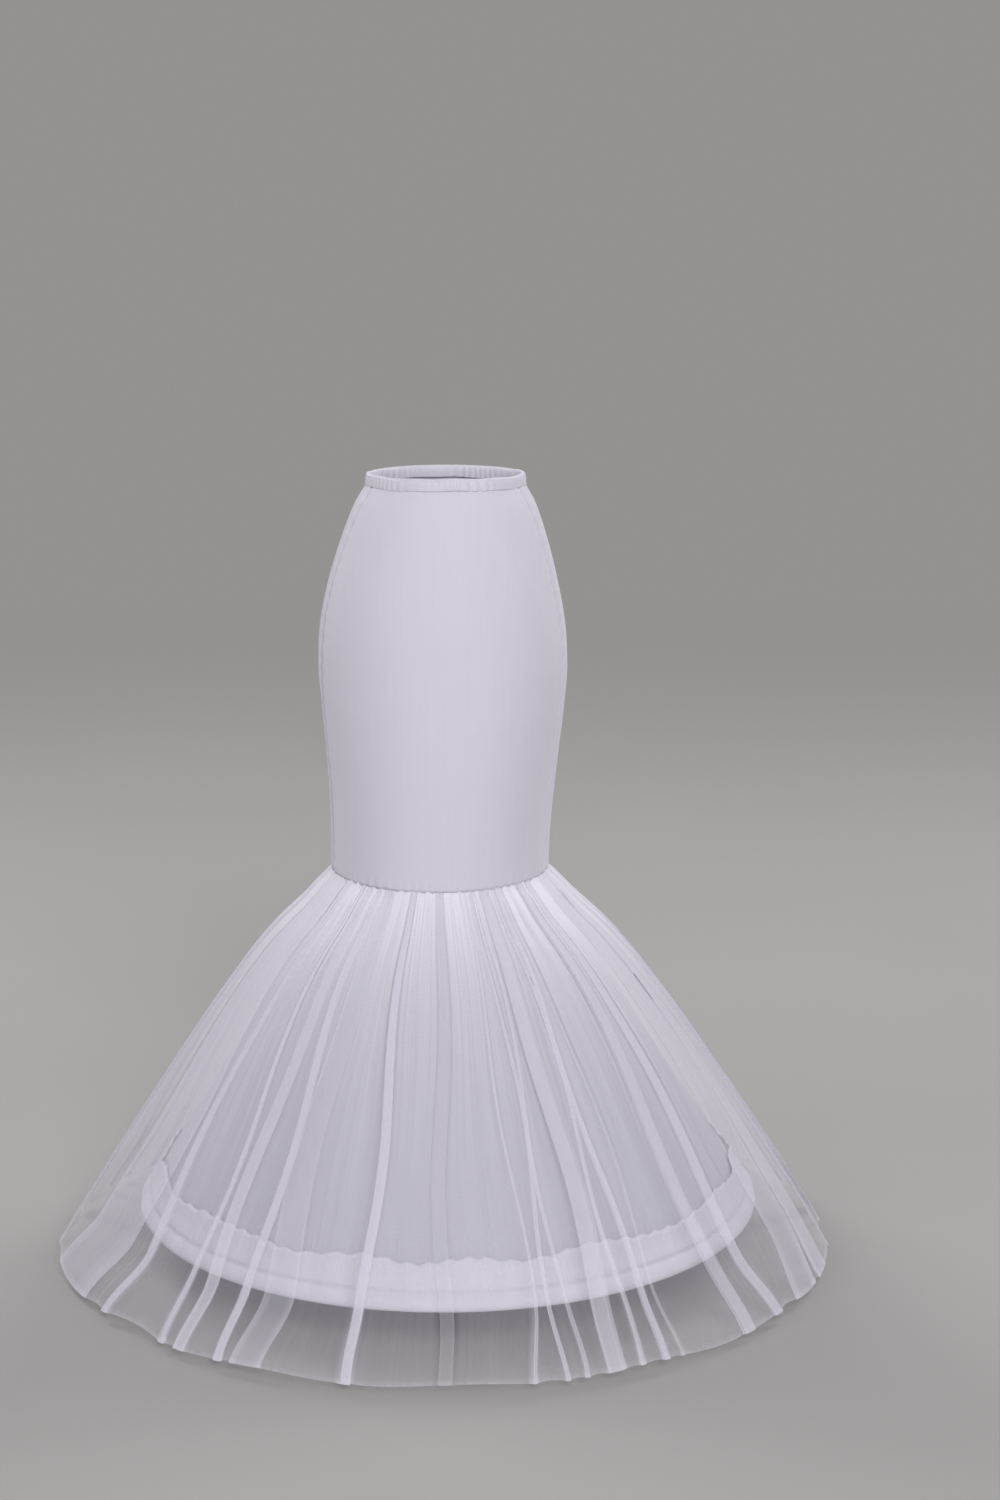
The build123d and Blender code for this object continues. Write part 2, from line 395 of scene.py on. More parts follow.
def tint(nodes, links, shader, colour, vector, scale, spread):
    """Let the colour vary softly over the cloth."""
    noise = nodes.new("ShaderNodeTexNoise")
    noise.inputs["Scale"].default_value = scale
    noise.inputs["Detail"].default_value = 4.0
    links.new(vector, noise.inputs["Vector"])
    ramp = nodes.new("ShaderNodeValToRGB")
    ramp.color_ramp.elements[0].position = 0.3
    ramp.color_ramp.elements[1].position = 0.7
    ramp.color_ramp.elements[0].color = (*[part * (1 - spread) for part in colour], 1)
    ramp.color_ramp.elements[1].color = (*[min(1, part * (1 + spread)) for part in colour], 1)
    links.new(noise.outputs["Fac"], ramp.inputs["Fac"])
    links.new(ramp.outputs["Color"], shader.inputs["Base Color"])


def weave_bump(material, shader, vector, across, down, depth):
    """Give a cloth its crossing threads as a bump."""
    tree = material.node_tree
    bump = tree.nodes.new("ShaderNodeBump")
    bump.inputs["Strength"].default_value = 0.3
    bump.inputs["Distance"].default_value = depth
    tree.links.new(crossing_threads(tree, vector, across, down), bump.inputs["Height"])
    tree.links.new(bump.outputs["Normal"], shader.inputs["Normal"])


def woven_finish(name, colour, roughness, sheen, across, down, depth, grain=(40.0, 12.0), spread=0.025):
    """Make a knit or woven finish that follows the lay of the cloth, with a grain that runs down it."""
    material, nodes, links, shader = new_material(name, colour, roughness, sheen)
    lay = nodes.new("ShaderNodeAttribute")
    lay.attribute_name = "lay"
    run = nodes.new("ShaderNodeMapping")
    run.inputs["Scale"].default_value = (*grain, 1.0)
    links.new(lay.outputs["Vector"], run.inputs["Vector"])
    tint(nodes, links, shader, colour, run.outputs["Vector"], 1.0, spread)
    weave_bump(material, shader, lay.outputs["Vector"], across, down, depth)
    return material


def plain_finish(name, colour, roughness, metallic, scale):
    """Make the finish of thread, elastic, tape or metal on the piece's own place."""
    material, nodes, links, shader = new_material(name, colour, roughness, 0.0)
    shader.inputs["Metallic"].default_value = metallic
    place = nodes.new("ShaderNodeTexCoord")
    tint(nodes, links, shader, colour, place.outputs["Object"], scale, 0.05)
    weave_bump(material, shader, place.outputs["Object"], scale, scale, 0.0002)
    return material


def tulle_finish(name, colour):
    """Make the sheer net: its cover is held by the cloth, with a fine unevenness."""
    material, nodes, links, shader = new_material(name, colour, 0.65, 0.0)
    lay = nodes.new("ShaderNodeAttribute")
    lay.attribute_name = "lay"
    cover = nodes.new("ShaderNodeAttribute")
    cover.attribute_name = "cover"
    stretch = nodes.new("ShaderNodeMapping")
    stretch.inputs["Scale"].default_value = (130.0, 3.0, 1.0)
    links.new(lay.outputs["Vector"], stretch.inputs["Vector"])
    streaks = nodes.new("ShaderNodeTexNoise")
    streaks.inputs["Scale"].default_value = 1.0
    streaks.inputs["Detail"].default_value = 2.0
    links.new(stretch.outputs["Vector"], streaks.inputs["Vector"])
    tree = material.node_tree
    spread = map_range(tree, streaks.outputs["Fac"], (0.25, 0.75), (0.86, 1.14))
    knots = crossing_threads(tree, lay.outputs["Vector"], 230.0, 230.0)
    shimmer = map_range(tree, knots, (0.0, 1.0), (1.14, 0.58))
    mottle = sum_node(tree, "MULTIPLY", spread.outputs["Result"], shimmer.outputs["Result"])
    share = sum_node(tree, "MULTIPLY", cover.outputs["Fac"], mottle)
    share.node.use_clamp = True
    links.new(share, shader.inputs["Alpha"])
    return material


# Geometry nodes


def new_tree(name, inputs):
    """Start a tree of geometry nodes with named inputs; give the tree, its input node and its output node."""
    tree = bpy.data.node_groups.new(name, "GeometryNodeTree")
    tree.interface.new_socket(name="Geometry", in_out="INPUT", socket_type="NodeSocketGeometry")
    for label, kind in inputs:
        tree.interface.new_socket(name=label, in_out="INPUT", socket_type=kind)
    tree.interface.new_socket(name="Geometry", in_out="OUTPUT", socket_type="NodeSocketGeometry")
    return tree, tree.nodes.new("NodeGroupInput"), tree.nodes.new("NodeGroupOutput")


def bake_tree(name, mesh, tree, values):
    """Run a tree on a mesh with its inputs set, and give the result as a plain mesh object."""
    maker = bpy.data.objects.new(name + "_maker", mesh)
    bpy.context.scene.collection.objects.link(maker)
    modifier = maker.modifiers.new(tree.name, "NODES")
    modifier.node_group = tree
    sockets = {item.name: item.identifier for item in tree.interface.items_tree if item.in_out == "INPUT"}
    for label, value in values.items():
        modifier[sockets[label]] = value
    ready = maker.evaluated_get(bpy.context.evaluated_depsgraph_get())
    baked = bpy.data.meshes.new_from_object(ready)
    maker.modifiers.remove(modifier)
    bpy.data.objects.remove(maker)
    if not len(baked.vertices):
        raise RuntimeError(f"{name}: the tree made nothing")
    baked.name = name
    piece = bpy.data.objects.new(name, baked)
    bpy.context.scene.collection.objects.link(piece)
    return piece


def stitch_tree():
    """Make the tree that sews a row of stitches along a path."""
    tree, given, result = new_tree("Stitch row", (
        ("Stitch length", "NodeSocketFloat"),
        ("Stitch pitch", "NodeSocketFloat"),
        ("Thread width", "NodeSocketFloat"),
        ("Thread", "NodeSocketMaterial"),
    ))
    link = tree.links.new
    path = tree.nodes.new("GeometryNodeMeshToCurve")
    link(given.outputs["Geometry"], path.inputs["Mesh"])
    spaced = tree.nodes.new("GeometryNodeResampleCurve")
    spaced.mode = "LENGTH"
    link(path.outputs["Curve"], spaced.inputs["Curve"])
    link(given.outputs["Stitch pitch"], spaced.inputs["Length"])
    bead = tree.nodes.new("GeometryNodeMeshUVSphere")
    bead.inputs["Segments"].default_value = 6
    bead.inputs["Rings"].default_value = 4
    bead.inputs["Radius"].default_value = 0.5
    tangent = tree.nodes.new("GeometryNodeInputTangent")
    turn = tree.nodes.new("FunctionNodeAlignRotationToVector")
    turn.axis = "X"
    link(tangent.outputs["Tangent"], turn.inputs["Vector"])
    size = tree.nodes.new("ShaderNodeCombineXYZ")
    link(given.outputs["Stitch length"], size.inputs["X"])
    link(given.outputs["Thread width"], size.inputs["Y"])
    link(given.outputs["Thread width"], size.inputs["Z"])
    row = tree.nodes.new("GeometryNodeInstanceOnPoints")
    link(spaced.outputs["Curve"], row.inputs["Points"])
    link(bead.outputs["Mesh"], row.inputs["Instance"])
    link(turn.outputs["Rotation"], row.inputs["Rotation"])
    link(size.outputs["Vector"], row.inputs["Scale"])
    real = tree.nodes.new("GeometryNodeRealizeInstances")
    link(row.outputs["Instances"], real.inputs["Geometry"])
    soft = tree.nodes.new("GeometryNodeSetShadeSmooth")
    link(real.outputs["Geometry"], soft.inputs["Geometry"])
    finish = tree.nodes.new("GeometryNodeSetMaterial")
    link(soft.outputs["Geometry"], finish.inputs["Geometry"])
    link(given.outputs["Thread"], finish.inputs["Material"])
    link(finish.outputs["Geometry"], result.inputs["Geometry"])
    return tree


def sew(name, paths, slot):
    """Sew rows of stitches along paths of points; a closed path gives its first point again at its end."""
    stitches = bpy.context.scene.petticoat_stitches
    corners, edges = [], []
    for path in paths:
        first = len(corners)
        corners.extend(np.asarray(path).tolist())
        edges.extend((first + step, first + step + 1) for step in range(len(path) - 1))
    mesh = bpy.data.meshes.new(name + "_path")
    mesh.from_pydata(corners, edges, [])
    tree = bpy.data.node_groups.get("Stitch row") or stitch_tree()
    thread = bpy.data.materials.get("sewing_thread") or plain_finish(
        "sewing_thread", tuple(bpy.context.scene.petticoat_cloth.thread), 0.6, 0.0, 900.0)
    piece = bake_tree(name, mesh, tree, {
        "Stitch length": stitches.length,
        "Stitch pitch": stitches.pitch,
        "Thread width": stitches.thread,
        "Thread": thread,
    })
    wear(piece, None, slot)
    return piece


def lining_tree():
    """Make the tree that flares a lining panel from the knee to the hoop, with soft folds above the casing."""
    tree, given, result = new_tree("Lining panel", (
        ("Top radius", "NodeSocketFloat"),
        ("Top sway", "NodeSocketFloat"),
        ("Hoop radius", "NodeSocketFloat"),
        ("Top drop", "NodeSocketFloat"),
        ("Bottom drop", "NodeSocketFloat"),
        ("First bearing", "NodeSocketFloat"),
        ("Last bearing", "NodeSocketFloat"),
        ("Fold depth", "NodeSocketFloat"),
        ("Columns", "NodeSocketInt"),
        ("Rows", "NodeSocketInt"),
        ("Cloth", "NodeSocketMaterial"),
    ))
    link, sums = tree.links.new, lambda *parts: sum_node(tree, *parts)
    grid = tree.nodes.new("GeometryNodeMeshGrid")
    grid.inputs["Size X"].default_value = 1.0
    grid.inputs["Size Y"].default_value = 1.0
    link(given.outputs["Columns"], grid.inputs["Vertices X"])
    link(given.outputs["Rows"], grid.inputs["Vertices Y"])
    place = tree.nodes.new("GeometryNodeInputPosition")
    parts = tree.nodes.new("ShaderNodeSeparateXYZ")
    link(place.outputs["Position"], parts.inputs["Vector"])
    along = sums("ADD", parts.outputs["X"], 0.5)
    down = sums("SUBTRACT", 0.5, parts.outputs["Y"])
    turn = sums("SUBTRACT", given.outputs["Last bearing"], given.outputs["First bearing"])
    bearing = sums("ADD", given.outputs["First bearing"], sums("MULTIPLY", along, turn))
    fall = sums("SUBTRACT", given.outputs["Bottom drop"], given.outputs["Top drop"])
    drop = sums("ADD", given.outputs["Top drop"], sums("MULTIPLY", down, fall))
    spread = sums("SUBTRACT", given.outputs["Hoop radius"], given.outputs["Top radius"])
    cone = sums("ADD", given.outputs["Top radius"], sums("MULTIPLY", down, spread))
    above_casing = sums("MAXIMUM", sums("SUBTRACT", 0.92, down), 0.0)
    middle = sums("MULTIPLY", sums("MULTIPLY", down, above_casing), 3.78)
    broad = sums("SINE", sums("ADD", sums("MULTIPLY", bearing, 9.0), sums("MULTIPLY", down, 1.3)))
    narrow = sums("SINE", sums("ADD", sums("MULTIPLY", bearing, 23.0), sums("MULTIPLY", down, -2.1)))
    wave = sums("ADD", broad, sums("MULTIPLY", narrow, 0.55))
    sag = sums("MULTIPLY", sums("SUBTRACT", wave, 1.6), sums("MULTIPLY", middle, given.outputs["Fold depth"]))
    radius = sums("ADD", cone, sag)
    point = tree.nodes.new("ShaderNodeCombineXYZ")
    aside = sums("MULTIPLY", given.outputs["Top sway"], sums("SUBTRACT", 1.0, down))
    link(sums("ADD", aside, sums("MULTIPLY", radius, sums("SINE", bearing))), point.inputs["X"])
    link(sums("MULTIPLY", radius, sums("MULTIPLY", sums("COSINE", bearing), -1.0)), point.inputs["Y"])
    link(sums("MULTIPLY", drop, -1.0), point.inputs["Z"])
    flat = tree.nodes.new("ShaderNodeCombineXYZ")
    link(sums("MULTIPLY", bearing, 0.3), flat.inputs["X"])
    link(drop, flat.inputs["Y"])
    lay = tree.nodes.new("GeometryNodeStoreNamedAttribute")
    lay.data_type = "FLOAT_VECTOR"
    lay.domain = "POINT"
    lay.inputs["Name"].default_value = "lay"
    link(grid.outputs["Mesh"], lay.inputs["Geometry"])
    link(flat.outputs["Vector"], lay.inputs["Value"])
    shape = tree.nodes.new("GeometryNodeSetPosition")
    link(lay.outputs["Geometry"], shape.inputs["Geometry"])
    link(point.outputs["Vector"], shape.inputs["Position"])
    soft = tree.nodes.new("GeometryNodeSetShadeSmooth")
    link(shape.outputs["Geometry"], soft.inputs["Geometry"])
    real = tree.nodes.new("GeometryNodeRealizeInstances")
    link(soft.outputs["Geometry"], real.inputs["Geometry"])
    finish = tree.nodes.new("GeometryNodeSetMaterial")
    link(real.outputs["Geometry"], finish.inputs["Geometry"])
    link(given.outputs["Cloth"], finish.inputs["Material"])
    link(finish.outputs["Geometry"], result.inputs["Geometry"])
    return tree


# Pieces


class PETTICOAT_OT_body(bpy.types.Operator):
    """Make the front and back panels of the fitted body."""

    bl_idname = "petticoat.body"
    bl_label = "Fitted body"

    def execute(self, context):
        cloth = context.scene.petticoat_cloth
        knit = woven_finish("stretch_knit", tuple(cloth.knit), 0.72, 0.35, 460.0, 380.0, 0.00025,
                            grain=(230.0, 5.0), spread=0.012)
        drops = np.linspace(BODY_TOP, KNEE_DROP, 130)[:, None]
        side = seam_turn(drops)
        self.panel("body_front_cloth", -side, side, drops, 120, knit, "body_front", (0.41, 0.53))
        self.panel("body_back_cloth", side, 2 * math.pi - side, drops, 170, knit, "body_back", (0.57, 0.53))
        return {"FINISHED"}

    def panel(self, name, first, last, drops, columns, knit, node, flat):
        """Make one panel, drawn in a little along its seams."""
        share = np.linspace(0, 1, columns)[None, :]
        turns = first + (last - first) * share
        girth = smooth_line(BODY_LEVELS, 1, drops) * (last - first) * 0.92
        to_seam = np.minimum(share, 1 - share) * girth
        seam_pull = -0.0016 * bell(to_seam, 0.004) + 0.0006 * bell(to_seam - 0.011, 0.005)
        seam_pucker = 0.0005 * np.sin(drops * 330 + 2 * np.sin(drops * 41)) * bell(to_seam, 0.012)
        to_knee = KNEE_DROP - drops
        knee_pull = -0.0006 * bell(to_knee, 0.005)
        knee_pucker = 0.0007 * bell(to_knee, 0.012) * np.sin(turns * 74 + 3 * np.sin(turns * 5))
        slack = 0.0006 * unevenness(turns * 9, drops * 42, 3)
        near_hip = bell(drops - 0.11, 0.055)
        crease = 0.0026 * near_hip * bell(turns - 0.42 - 3.4 * (drops - 0.03), 0.10)
        crease = crease - 0.0015 * near_hip * bell(turns + 0.50 + 3.0 * (drops - 0.03), 0.09)
        strain = 0.0002 * np.sin(drops * 95 + 2.5 * np.sin(turns * 2)) * bell(drops - 0.30, 0.09)
        out = seam_pull + seam_pucker + knee_pull + knee_pucker + slack + crease + strain
        points = oval_points(turns, drops + 0 * turns, out)
        lay = np.stack(np.broadcast_arrays((share - 0.5) * girth, drops + 0 * turns), axis=-1)
        piece = cloth_mesh(name, points, lay)
        thicken(piece, KNIT_THICKNESS, -1)
        wear(piece, knit, "body_knit", node)


class PETTICOAT_OT_waist(bpy.types.Operator):
    """Make the waist casing, folded over its elastic and gently gathered, with its rows of stitches."""

    bl_idname = "petticoat.waist"
    bl_label = "Waist casing"

    def execute(self, context):
        cloth = context.scene.petticoat_cloth
        band = woven_finish("waist_satin", tuple(cloth.band), 0.5, 0.3, 760.0, 760.0, 0.00015)
        turns = np.linspace(0, 2 * math.pi, 420, endpoint=False)[None, :]
        height = WAIST_HIGH[2] - WAIST_LOW[2]
        profile = np.array([(-height * share, out) for share, out in WAIST_SECTION])
        half_width = 0.5 * (WAIST_HIGH[0] - WAIST_LOW[0]) - 0.0013
        half_depth = 0.5 * (WAIST_HIGH[1] - WAIST_LOW[1]) - 0.0013
        gather = 0.0005 * np.sin(turns * 66 + 3 * np.sin(turns * 7)) * (1 + 0.5 * np.sin(turns * 5))
        free = np.interp(-profile[:, 0] / height, [0, 0.2, 0.74, 1], [0.5, 1.0, 0.6, 1.2])[:, None]
        flare = 0.0022 * np.clip(-profile[:, 0] / height - 0.2, 0, 1)[:, None]
        out = profile[:, 1][:, None] + gather * free + flare
        rise = 0.0006 * np.sin(turns * 4 + 1) + 0.0004 * np.sin(turns * 11) + 0.0018 * np.cos(turns)
        z = profile[:, 0][:, None] + rise - 0.0008
        points = np.stack(np.broadcast_arrays(
            (half_width + out) * np.sin(turns), -(half_depth + out) * np.cos(turns), z), axis=-1)
        along = turns * 0.093 + 0 * z
        length = np.concatenate([[0], np.cumsum(np.hypot(*np.diff(profile, axis=0).T))])[:, None] + 0 * turns
        lay = np.stack([along, length], axis=-1)
        piece = cloth_mesh("waist_casing_cloth", points[::-1], lay[::-1], closed=True)
        thicken(piece, WAIST_THICKNESS, 0)
        wear(piece, band, "casing_cloth", "waist_casing")
        rows = []
        for row in WAIST_STITCH_ROWS:
            path = points[row] + self.outward(points[row]) * WAIST_STITCH_LIFT
            rows.append(np.concatenate([path, path[:1]]))
        stitches = sew("waist_stitches", rows, "casing_cloth")
        return {"FINISHED"}

    def outward(self, points):
        """Give level directions away from the middle."""
        level = points * np.array([1.0, 1.0, 0.0])
        return level / np.linalg.norm(level, axis=-1, keepdims=True)


class PETTICOAT_OT_lining(bpy.types.Operator):
    """Make the front and back panels of the flared lining."""

    bl_idname = "petticoat.lining"
    bl_label = "Lining"

    def execute(self, context):
        scene = context.scene
        cloth = woven_finish("lining_taffeta", tuple(scene.petticoat_cloth.lining), 0.55, 0.25,
                             800.0, 800.0, 0.00015)
        tree = lining_tree()
        side = float(seam_turn(np.array([KNEE_DROP]))[0])
        for name, node, first, last, columns in (
            ("lining_front_cloth", "lining_front", -side, side, 150),
            ("lining_back_cloth", "lining_back", side, 2 * math.pi - side, 200),
        ):
            piece = bake_tree(name, bpy.data.meshes.new(name + "_start"), tree, {
                "Top radius": LINING_TOP_RADIUS,
                "Top sway": float(sway(np.array([KNEE_DROP]))[0]),
                "Hoop radius": HOOP_RADIUS - LINING_TUCK,
                "Top drop": KNEE_DROP - 0.008,
                "Bottom drop": HOOP_DROP - 0.006,
                "First bearing": first,
                "Last bearing": last,
                "Fold depth": scene.petticoat_folds.lining_fold,
                "Columns": columns,
                "Rows": 70,
                "Cloth": cloth,
            })
            thicken(piece, LINING_THICKNESS, -1)
            wear(piece, None, "lining_cloth", node)
        return {"FINISHED"}


class PETTICOAT_OT_hoop_casing(bpy.types.Operator):
    """Make the band folded under the hoop, puckered along its upper edge, and sew it."""

    bl_idname = "petticoat.hoop_casing"
    bl_label = "Hoop casing"

    def execute(self, context):
        scene = context.scene
        band = woven_finish("casing_satin", tuple(scene.petticoat_cloth.band), 0.5, 0.3,
                            760.0, 760.0, 0.00015)
        bearing = np.linspace(0, 2 * math.pi, 640, endpoint=False)[None, :]
        up, out = (column[:, None] for column in np.array(CASING_SECTION).T)
        bottom = -HOOP_LOW[2]
        slope = (HOOP_RADIUS - LINING_TOP_RADIUS) / (HOOP_DROP - KNEE_DROP)
        outer = np.arange(len(up))[:, None] <= CASING_LAST_OUTSIDE_ROW
        free = np.where(outer, np.clip((up - TUNNEL_HEIGHT) / 0.037, 0, 1), 0) ** 1.3
        pucker = scene.petticoat_folds.pucker
        broad = np.sin(bearing * 17 + 2.1 * np.sin(bearing * 3))
        broad = broad + 0.6 * np.sin(bearing * 31 + 1.7 * np.sin(bearing * 5))
        fine = np.sin(bearing * 83 + 2 * np.sin(bearing * 9))
        ridge = bell(up - TUNNEL_HEIGHT, 0.006) * np.where(outer, 1, 0.5)
        reach = out + free * pucker * (0.45 + 0.30 * broad + 0.18 * fine) + ridge * 0.0006 * fine
        rise = up + free * pucker * (0.75 * np.sin(bearing * 13 + 1.5 * np.sin(bearing * 4)) + 0.35 * fine)
        in_tunnel = np.where(outer, np.sin(np.pi * np.clip(up / TUNNEL_HEIGHT, 0, 1)), 0.4)
        ripple = 0.0011 * np.sin(bearing * 47 + 2.5 * np.sin(bearing * 6)) * in_tunnel
        drop = bottom - rise
        radius = HOOP_RADIUS + (drop - HOOP_DROP) * slope + reach + ripple
        points = round_points(bearing, radius, -drop)
        length = np.concatenate([[0], np.cumsum(np.hypot(np.diff(up[:, 0]), np.diff(out[:, 0])))])[:, None]
        lay = np.stack(np.broadcast_arrays(bearing * HOOP_RADIUS, length + 0 * bearing), axis=-1)
        piece = cloth_mesh("hoop_casing_cloth", points, lay, closed=True)
        thicken(piece, CASING_THICKNESS, 0)
        wear(piece, band, "casing_cloth", "hoop_casing")
        rows = []
        for row in CASING_STITCH_ROWS:
            path = points[row] + round_points(bearing[0], CASING_STITCH_LIFT, CASING_STITCH_LIFT * 0.3)
            rows.append(np.concatenate([path, path[:1]]))
        stitches = sew("hoop_casing_stitches", rows, "casing_cloth")
        return {"FINISHED"}


class PETTICOAT_OT_tulle(bpy.types.Operator):
    """Make the gathered tulle flounce, folded over itself at each fold, and sew the knee seam."""

    bl_idname = "petticoat.tulle"
    bl_label = "Tulle flounce"

    def execute(self, context):
        scene = context.scene
        sizes, sheer = scene.petticoat_folds, scene.petticoat_cloth.sheer
        rng = np.random.default_rng(sizes.seed)
        folds = self.all_folds(rng)
        top, bottom = TULLE_LEVELS[0][0], TULLE_LEVELS[-1][0]
        share = np.linspace(0, 1, 64)[:, None] ** 0.9
        drops = top + (bottom - top) * share
        base = smooth_line(TULLE_LEVELS, 1, drops)
        widen = base / base[-1]
        places, outs, covers, lays = [], [], [], []
        along = 0.0
        for number, (bearing, lean, width, layers, lie) in enumerate(folds):
            after = folds[(number + 1) % len(folds)]
            wrap = 2 * math.pi if number + 1 == len(folds) else 0.0
            side = 1 if rng.uniform() < 0.6 else -1
            lead = rng.uniform(-0.25, 0.25, layers + 1)
            edge = self.lean_at(bearing, lean, share)
            half = self.half_width(width, base, share)
            height = sizes.layer_gap * (0.35 + 0.65 * share)
            for layer in range(layers):
                for step in np.linspace(0, 1, 5 if layers * width > 0.04 else 4):
                    way = 1 if layer % 2 == 0 else -1
                    turned = abs(2 * step - 1) > 0.9
                    at = way * (2 * step - 1) + lead[layer + (1 if step > 0.5 else 0)] * turned
                    lift = (layer if side > 0 else layers - 1 - layer) - 0.5 * (layers - 1)
                    crown = 0.9 * math.sin(math.pi * step)
                    places.append(edge + half * at)
                    outs.append(height * (lift + crown) + 0.004 * share)
                    close = lie * (0.24 + 0.76 * share ** 2.8)
                    thread = 1.5 if width < NARROW_FOLD else 1.15
                    thread = thread + (1.3 * share ** 4 if turned else 0 * share)
                    covers.append((1 + (layers * thread - 1) * close) / layers)
                    lays.append(along + step * width)
                along += width
            exit_place = places[-1]
            next_edge = self.lean_at(after[0] + wrap, after[1], share)
            next_half = self.half_width(after[2], base, share)
            arc = float((next_edge - next_half - exit_place)[-1, 0] * base[-1, 0])
            ripples = max(1, round(arc / 0.055))
            steps = 6 * ripples + 1
            bow = sizes.panel_bow * rng.uniform(-0.9, 1.0) * min(1.0, arc / 0.07)
            start = rng.uniform(0, 2 * math.pi)
            for step in range(1, steps):
                part = step / steps
                wave = np.sin(2 * math.pi * ripples * part + start)
                gather = sizes.gather_depth * wave * math.sin(math.pi * part) ** 0.5
                ease = (1 - share) ** 1.3 * np.clip(share / 0.06, 0.15, 1)
                settle = 0.004 * share * abs(2 * part - 1) ** 2
                places.append(exit_place + (next_edge - next_half - exit_place) * part)
                outs.append(bow * share * math.sin(math.pi * part) + gather * ease + settle)
                covers.append(np.ones_like(share))
                lays.append(along + part * arc)
            along += arc
        bearings = np.concatenate(places, axis=1)
        out = np.concatenate(outs, axis=1)
        sides = 1 + 0.55 * np.clip(np.sin(bearings) ** 2 * 1.6 - 0.6, 0, 1)
        bunching = np.concatenate(covers, axis=1) * np.clip(1 / widen, 1, 3.4) ** 1.95 * sides
        hem = np.where(share > 0.994, 1.6, 1.0)
        cover = 1 - (1 - sheer) ** (bunching * hem)
        hang = 0.006 * np.cos(bearings) * share ** 3 + 0.0022 * np.sin(bearings * 13 + 1) * share ** 4
        from_left = bearings - 2 * math.pi * (bearings > math.pi) + 1.45
        lobe = 0.013 * bell(from_left, 0.38) * share ** 1.5
        points = round_points(bearings, base + out + lobe, hang - drops)
        points[..., 0] += sway(drops)
        lay = np.stack(np.broadcast_arrays(np.array(lays)[None, :], drops), axis=-1)
        piece = cloth_mesh("tulle_flounce_cloth", points, lay, closed=True, extra={"cover": cover})
        self.soften(piece.data, bearings, np.gradient(base[:, 0], drops[:, 0])[:, None])
        net = tulle_finish("sheer_tulle", tuple(scene.petticoat_cloth.tulle))
        wear(piece, net, "tulle", "tulle_flounce")
        turns = np.linspace(0, 2 * math.pi, 361)
        drop = np.full_like(turns, KNEE_DROP - 0.0035)
        stitches = sew("knee_seam_stitches", [oval_points(turns, drop, 0.0004)], "body_knit")
        return {"FINISHED"}

    def soften(self, mesh, bearings, flare):
        """Let light fall on the net as on the whole flounce, with a little of each fold's own turn."""
        fall = np.broadcast_to(flare, bearings.shape)
        whole = np.stack([np.sin(bearings), -np.cos(bearings), fall], axis=-1).reshape(-1, 3)
        whole = whole / np.linalg.norm(whole, axis=1, keepdims=True)
        corners = np.empty(len(mesh.loops), dtype=np.int32)
        mesh.loops.foreach_get("vertex_index", corners)
        faces = np.empty(len(mesh.polygons) * 3, dtype=np.float32)
        mesh.polygons.foreach_get("normal", faces)
        own = np.repeat(faces.reshape(-1, 3), 4, axis=0)
        side = np.repeat(np.sign((own * whole[corners]).sum(axis=1).reshape(-1, 4).sum(axis=1) + 1e-9), 4)
        turned = whole[corners] * side[:, None] * 0.86 + own * 0.14
        mesh.normals_split_custom_set((turned / np.linalg.norm(turned, axis=1, keepdims=True)).tolist())

    def half_width(self, width, base, share):
        """Give half of the turn that a fold takes up down its length; small folds open upwards."""
        return 0.5 * width / base[-1] * (1 + (0.9 if width < NARROW_FOLD else 0.2) * (1 - share))

    def lean_at(self, bearing, lean, share):
        """Give a fold's bearing down its length, swaying a little and leaning over just above the hem."""
        ease = np.clip((1 - share) / 0.16, 0, 1)
        wander = 0.085 * np.sin(share * 7 + bearing * 37) * (1 - share) * share
        return bearing + wander + lean * ease * ease * (3 - 2 * ease)

    def all_folds(self, rng):
        """List the folds round the flounce: bearing and lean in radians, width in metres, layers, lie."""
        folds = [(math.radians(bearing), math.radians(lean), width / 1000, layers, lie)
                 for bearing, lean, width, layers, lie in FRONT_FOLDS]
        bearing = FRONT_FOLDS[-1][0] + 9.0
        last = 360.0 + FRONT_FOLDS[0][0] - 10.0
        while bearing < last:
            width = float(rng.choice([5.0, 8.0, 12.0, 16.0, 24.0, 46.0]))
            layers = 3 if width > 30 else int(rng.choice([3, 5, 7]))
            lean, lie = rng.uniform(-2.5, 2.5), rng.uniform(0.3, 1.0)
            folds.append((math.radians(bearing), math.radians(lean), width / 1000, layers, lie))
            bearing += width / 9.2 + rng.uniform(2.6, 12.0)
        return folds


class PETTICOAT_OT_inner(bpy.types.Operator):
    """Finish the elastic, the hoop tape and its sleeve, and sew the side seams."""

    bl_idname = "petticoat.inner"
    bl_label = "Elastic, hoop and side seams"

    def execute(self, context):
        finishes = {
            "waist_elastic": plain_finish("woven_elastic", (0.78, 0.78, 0.80), 0.75, 0.0, 700.0),
            "hoop_bone": plain_finish("hoop_tape", (0.80, 0.80, 0.78), 0.45, 0.0, 120.0),
            "hoop_connector": plain_finish("sleeve_steel", (0.62, 0.62, 0.63), 0.35, 1.0, 300.0),
        }
        for node, finish in finishes.items():
            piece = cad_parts[node]
            piece.data.materials.clear()
            piece.data.materials.append(finish)
        drops = np.linspace(0.022, KNEE_DROP - 0.008, 260)
        rows = []
        for hand in (-1, 1):
            turn = hand * (seam_turn(drops) - 0.0045 / smooth_line(BODY_LEVELS, 1, drops))
            rows.append(oval_points(turn, drops, 0.0002))
        sew("side_seam_stitches", rows, "body_knit")
        return {"FINISHED"}


